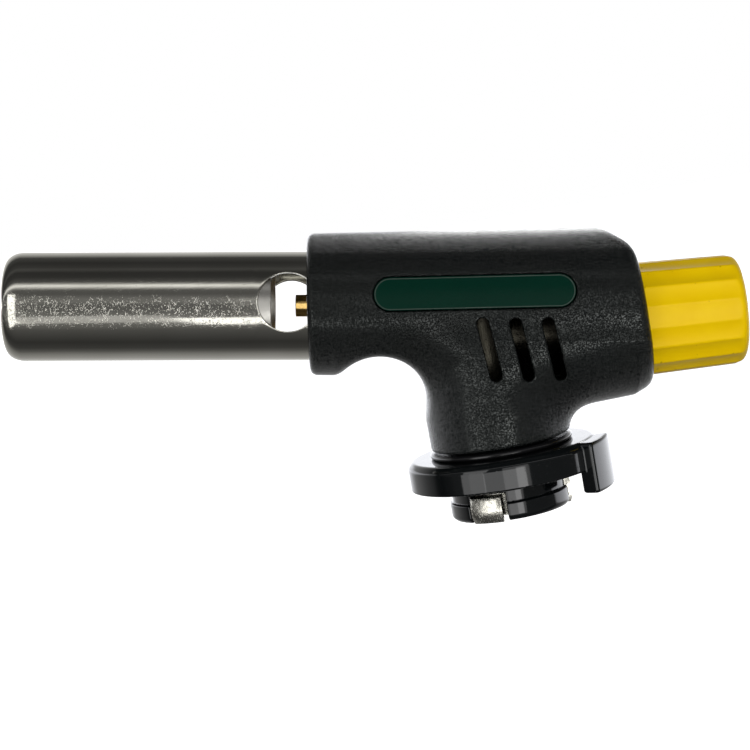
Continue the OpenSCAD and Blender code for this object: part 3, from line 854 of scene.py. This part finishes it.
def tubeMesh():
    nearAngle = math.radians(180 + tube["hole"]["turn"])
    angles = tubeAngles(nearAngle)
    profile, top = tubeProfile()
    rows, columns, steps = len(profile), len(angles), tube["patchSteps"]
    points = [(x, r * math.cos(a), r * math.sin(a)) for x, r in profile for a in angles]
    tops = (top, rows - 1 - top - steps)
    lefts = (0, steps + tube["arcSteps"])
    holes = {(first + i, left + j) for first in tops for left in lefts
             for i in range(steps) for j in range(steps)}
    faces = []
    for i in range(rows):
        for j in range(columns):
            k, n = (i + 1) % rows, (j + 1) % columns
            if (i, j) not in holes:
                faces.append((i * columns + j, i * columns + n, k * columns + n, k * columns + j))
    for side, left in enumerate(lefts):
        holeWall(points, faces, profile, angles, nearAngle + side * math.pi, top, left)
    return fromFrame(np.array(points), burnerFrame), faces


points, faces = tubeMesh()
burnerTube = pieceFrom("burnerTube", points, faces, "burner_tube")
faceOutwards(burnerTube.data)
print("burner tube made")


knob = dict(
    flutes=17,
    depth=0.42,
    perFlute=12,         # mesh columns
    edge=2.4,
    taper=0.55,
    wall=2.2,
    hub=4.6,
    bore=2.55,
    screw=dict(seat=3.2, hole=1.3, depth=1.8),
    fluteEnd=(2.6, 0.6),     # flutes fade out between these, from the end face
    fluteSkin=(2.0, 1.3),    # and fade in between these, from the rim
)


def knobBody():
    # lathed body in the spindle's frame, thin cup with a hub
    k, screw = knob, knob["screw"]
    start, end = knobLow[0], knobHigh[0]
    outer, tip, inner = knobRadius, knobRadius - k["taper"], knobRadius - k["wall"]
    profile = [(start + 0.25, outer - 0.5), (start + 0.05, outer - 0.2), (start + 0.1, outer - 0.03),
               (start + 0.4, outer)]
    for share in np.linspace(0.04, 1, 36):
        profile.append((start + (end - k["edge"] - start) * share, outer - k["taper"] * share))
    for a in np.linspace(0, math.pi / 2, 12)[1:]:
        profile.append((end - k["edge"] * (1 - math.sin(a)), tip - k["edge"] * (1 - math.cos(a))))
    floor = end - screw["depth"]
    profile += [(end - 0.02, 5.2), (end - 0.12, 3.9), (end - 0.35, screw["seat"] + 0.25),
                (end - 1.0, screw["seat"] + 0.05), (floor + 0.1, screw["seat"]),
                (floor, screw["seat"] - 0.2), (floor, screw["hole"]), (floor - 0.6, screw["hole"]),
                (floor - 1.2, k["bore"]), (start, k["bore"]), (start, k["hub"]),
                (floor - 1.6, k["hub"]), (floor - 1.4, k["hub"] + 0.6), (floor - 1.4, inner - 0.6),
                (floor - 2.0, inner), (start + 0.25, inner)]
    rows, columns = len(profile), k["flutes"] * k["perFlute"]
    turns = [2 * math.pi * n / columns - math.pi / 2 for n in range(columns)]
    points = [(u, r * math.cos(a), r * math.sin(a)) for u, r in profile for a in turns]
    faces = [(i * columns + n, i * columns + (n + 1) % columns,
              (i + 1) % rows * columns + (n + 1) % columns, (i + 1) % rows * columns + n)
             for i in range(rows) for n in range(columns)]
    return np.array(points), faces


def fluteTree():
    # presses flutes into everything outside the inner radius
    tree = bpy.data.node_groups.new("knobFlutes", "GeometryNodeTree")
    sockets = tree.interface
    sockets.new_socket("Geometry", in_out="INPUT", socket_type="NodeSocketGeometry")
    for name in ("Flutes", "Depth", "Inner Radius", "Full Radius", "Height", "Slant", "Start", "End"):
        sockets.new_socket(name, in_out="INPUT", socket_type="NodeSocketFloat")
    sockets.new_socket("Material", in_out="INPUT", socket_type="NodeSocketMaterial")
    sockets.new_socket("Geometry", in_out="OUTPUT", socket_type="NodeSocketGeometry")
    kit = Nodes(tree)
    given = kit.node("NodeGroupInput").outputs
    size = {s.name: kit.value(s) for s in given if s.type == "VALUE"}
    place = kit.node("GeometryNodeInputPosition").outputs[0]
    x, y, z = (kit.value(s) for s in kit.node("ShaderNodeSeparateXYZ", {}, {0: place}).outputs)
    near, lift = size["Slant"].math("COSINE"), size["Slant"].math("SINE")
    up = z - size["Height"]
    along = x * near - up * lift
    over = x * lift + up * near
    radius = (y * y + over * over).math("SQRT")
    turn = over.math("ARCTAN2", y) / (2 * math.pi)
    phase = ((turn + 0.25) * size["Flutes"] + 100).math("FRACT")
    hollow = phase * (1 - phase) * 4
    outside = radius.ramp(size["Inner Radius"], size["Full Radius"])
    before = along.ramp(size["End"], size["Start"])
    press = hollow * size["Depth"] * outside * before
    pull = press / radius.math("MAXIMUM", 0.0001) * -1
    offset = kit.node("ShaderNodeCombineXYZ", {}, {
        0: over * pull * lift, 1: y * pull, 2: over * pull * near}).outputs[0]
    moved = kit.node("GeometryNodeSetPosition", {}, {"Geometry": given["Geometry"], "Offset": offset})
    real = kit.node("GeometryNodeRealizeInstances", {}, {0: moved.outputs[0]})
    painted = kit.node("GeometryNodeSetMaterial", {}, {
        "Geometry": real.outputs[0], "Material": given["Material"]})
    kit.node("NodeGroupOutput", {}, {0: painted.outputs[0]})
    return tree


def grown(piece, tree, settings):
    # puts a node tree's result into the piece as a plain mesh
    modifier = piece.modifiers.new(tree.name, "NODES")
    modifier.node_group = tree
    for item in tree.interface.items_tree:
        if item.in_out == "INPUT" and item.name in settings:
            modifier[item.identifier] = settings[item.name]
    settled(piece)


points, faces = knobBody()
mesh = bpy.data.meshes.new("knob")
mesh.from_pydata((fromFrame(points, spindleFrame) * mm).tolist(), [], faces)
valveKnob = bpy.data.objects.new("valveKnob", mesh)
scene.collection.objects.link(valveKnob)
grown(valveKnob, fluteTree(), {
    "Flutes": float(knob["flutes"]), "Depth": knob["depth"] * mm,
    "Inner Radius": (knobRadius - knob["fluteSkin"][0]) * mm,
    "Full Radius": (knobRadius - knob["fluteSkin"][1]) * mm,
    "Height": spindleHeight * mm, "Slant": spindleTilt,
    "Start": (knobHigh[0] - knob["fluteEnd"][0]) * mm, "End": (knobHigh[0] - knob["fluteEnd"][1]) * mm,
    "Material": finishes["knob_yellow"]})
faceOutwards(valveKnob.data)
valveKnob.data.set_sharp_from_angle(angle=math.radians(50))
dress(valveKnob, "knob")
print("knob made")


# mm of rounding on each node that keeps its own shape
edges = dict(valve_body=0.3, jet=0.12, mixer_sleeve=0.12, flame_holder=0.2, shell_screws=0.18,
             knob_screw=0.15, gland_nut=0.2, inlet_nipple=0.15, inlet_seal=0.15, jet_holder=0.2)
for node, width in edges.items():
    first, *others = node.split("_")
    bevelled(first + "".join(word.capitalize() for word in others), node, width)
for node, thing in frame["nodes"].items():
    thing.data.materials.clear()
    thing.data.materials.append(finishes[slots[node]])
print("hardware made")


studio = dict(
    floorDrop=60,        # mm below the part
    # brightness around the burner's axis: angle above the camera side in degrees, brightness
    bands=((-180, 2.6), (-172, 2.2), (-160, 0.72), (-138, 0.42), (-116, 0.26), (-104, 0.12),
           (-94, 0.06), (-76, 0.04), (-60, 0.07), (-46, 0.1), (-38, 0.16), (-12, 0.18),
           (-2, 0.13), (6, 0.12), (14, 0.2), (20, 0.19), (30, 0.1), (40, 0.12), (45, 0.75),
           (48.5, 1.3), (52, 0.5), (56, 0.09), (68, 0.04), (80, 0.035), (88, 0.08), (94, 0.05),
           (108, 0.035), (128, 0.07), (140, 0.4), (152, 0.65), (164, 0.85), (171, 2.2)),
    cool=(0.97, 0.985, 1.03),        # tint of the bands brighter than coolFrom
    coolFrom=1.4,
    # name, place, what it faces, width and height, brightness, whether gloss shows it;
    # places and sizes in mm in the burner's frame
    boxes=(("frontLow", (0, -165, -70), (0, 0, -20), (150, 45), 1.7, True),
           ("frontFar", (-112, -165, -70), (-112, 0, -20), (74, 45), 0.35, True),
           ("frontWide", (80, -430, -20), (20, 0, 0), (240, 400), 1.05, True),
           ("leftLow", (-330, -400, -205), (-20, 0, -30), (270, 190), 1.8, True),
           ("topBack", (22, 212, 120), (22, 0, 0), (74, 150), 3.2, True),
           ("frontRight", (52, -165, -50), (5, 0, -35), (32, 60), 1.7, True),
           ("leftBox", (-330, -400, 60), (-20, 0, -10), (270, 330), 1.8, True),
           ("keyBox", (120, -420, 110), (0, 0, 0), (300, 240), 5, False)),
)


def makeWorld():
    s = studio
    world = bpy.data.worlds.new("studio")
    scene.world = world
    world.use_nodes = True
    tree = world.node_tree
    tree.nodes.clear()
    kit = Nodes(tree)
    way = kit.node("ShaderNodeTexCoord").outputs["Generated"]
    side = (math.sin(burnerTilt), 0, math.cos(burnerTilt))

    def along(direction):
        made = kit.node("ShaderNodeVectorMath", {"operation": "DOT_PRODUCT"}, {0: way, 1: direction})
        return kit.value(made.outputs["Value"])

    angle = along(side).math("ARCTAN2", along((0, -1, 0))) * (180 / math.pi)
    stops = [((a + 180) / 360, [b * c for c in (s["cool"] if b > s["coolFrom"] else (1, 1, 1))])
             for a, b in s["bands"]]
    bands = kit.node("ShaderNodeValToRGB", {"stops": stops}, {"Fac": (angle + 180) / 360})
    studioLight = kit.node("ShaderNodeBackground", {}, {"Color": bands.outputs[0], "Strength": 1.0})
    white = kit.node("ShaderNodeBackground", {}, {"Color": (1, 1, 1, 1), "Strength": 1.0})
    seen = kit.node("ShaderNodeLightPath").outputs["Is Camera Ray"]
    mixed = kit.node("ShaderNodeMixShader", {}, {0: seen, 1: studioLight.outputs[0],
                                                 2: white.outputs[0]})
    out = kit.node("ShaderNodeOutputWorld")
    tree.links.new(mixed.outputs[0], out.inputs["Surface"])


makeWorld()


def softBox(name, where, aim, size, brightness, mirrored):
    data = bpy.data.lights.new(name, "AREA")
    data.shape = "RECTANGLE"
    data.size, data.size_y = size[0] * mm, size[1] * mm
    data.energy = brightness * math.pi * data.size * data.size_y
    lamp = bpy.data.objects.new(name, data)
    scene.collection.objects.link(lamp)
    here = burnerFrame @ Vector(where)
    there = burnerFrame @ Vector(aim)
    lamp.location = here * mm
    lamp.rotation_mode = "QUATERNION"
    lamp.rotation_quaternion = (there - here).to_track_quat("-Z", "Y")
    lamp.visible_camera = False
    lamp.visible_glossy = mirrored


for box in studio["boxes"]:
    softBox(*box)

bpy.ops.mesh.primitive_plane_add(size=6)
floor = bpy.context.object
floor.name = "floor"
floor.location.z = cadBox[0][2] - studio["floorDrop"] * mm
floorPaint = Painter("floorPaper")
floorPaint.finish(Base_Color=(0.9, 0.9, 0.9, 1), Roughness=0.9,
                  Emission_Color=(1, 1, 1, 1), Emission_Strength=1.0)
floor.data.materials.append(floorPaint.material)
floor.visible_glossy = False
floor.visible_diffuse = False

# mm and degrees, in the burner's frame
view = dict(aim=(-20.7, 0, -14.1), distance=401.6, elevation=6.22, roll=-0.22, lens=95.35)
cameraData = bpy.data.cameras.new("camera")
cameraData.lens = view["lens"]
cameraData.sensor_width = 36
cameraData.clip_start = 0.01
cameraData.clip_end = 20
camera = bpy.data.objects.new("camera", cameraData)
scene.collection.objects.link(camera)
scene.camera = camera
turned = (burnerFrame @ Matrix.Translation(view["aim"])
          @ Matrix.Rotation(math.radians(90 - view["elevation"]), 4, "X")
          @ Matrix.Rotation(math.radians(view["roll"]), 4, "Z")
          @ Matrix.Translation((0, 0, view["distance"])))
camera.location = turned.translation * mm
camera.rotation_mode = "QUATERNION"
camera.rotation_quaternion = turned.to_quaternion()
print("stage made")
